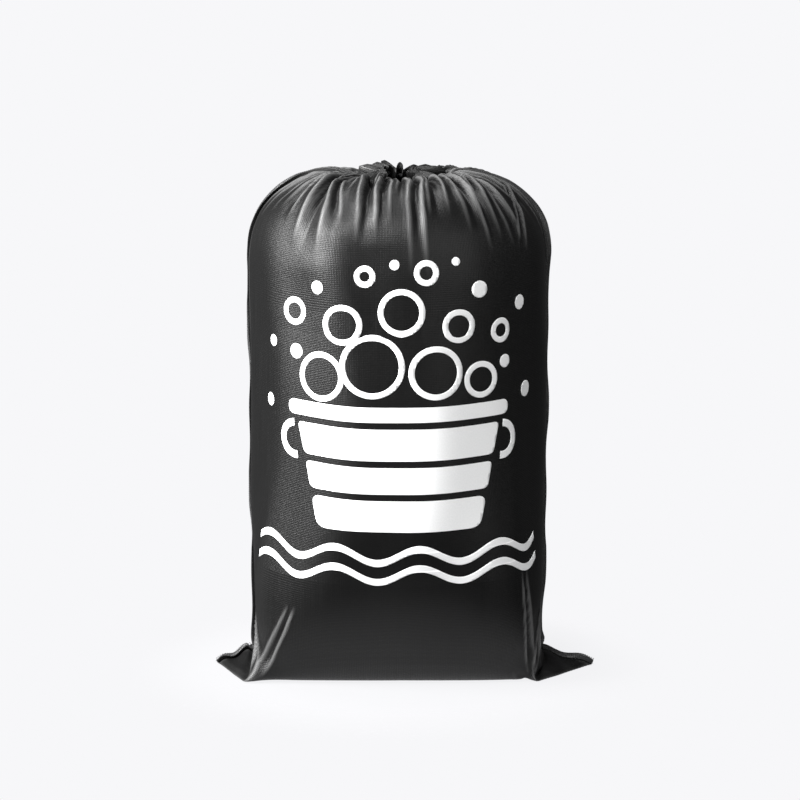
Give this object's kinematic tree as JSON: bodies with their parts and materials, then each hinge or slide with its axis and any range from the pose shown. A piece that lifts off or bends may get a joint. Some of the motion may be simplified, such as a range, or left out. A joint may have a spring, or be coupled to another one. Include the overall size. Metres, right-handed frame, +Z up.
{
  "type": "laundry bag",
  "caption": "Large drawstring laundry bag, packed full and standing, with the mouth drawn shut, flat corner ears at the base and a printed front.",
  "frame": {"origin": "on the floor under the middle of the bag, half way between the tips of the two corner ears", "axes": "+Z up through the mouth, -Y out of the printed front, +X to the right seen from the front"},
  "size_m": [0.494, 0.3784, 0.65],
  "materials": {
    "bag_fabric": "black polyester taffeta, satin sheen",
    "casing_fabric": "black polyester taffeta, gathered",
    "seam_thread": "black polyester thread",
    "drawcord": "black braided polyester cord",
    "white_print": "white screen print, matt",
    "laundry": "folded cotton washing"
  },
  "bodies": {
    "root": {"front_panel": "bag_fabric", "back_panel": "bag_fabric", "left_side_seam": "seam_thread", "left_seam_stitching": "seam_thread", "right_side_seam": "seam_thread", "right_seam_stitching": "seam_thread", "bottom_seam": "seam_thread", "bottom_stitching": "seam_thread", "front_casing": "casing_fabric", "back_casing": "casing_fabric", "front_casing_stitching": "seam_thread", "back_casing_stitching": "seam_thread", "drawcord": "drawcord", "laundry_load": "laundry", "front_print": "white_print"}
  },
  "joints": []
}
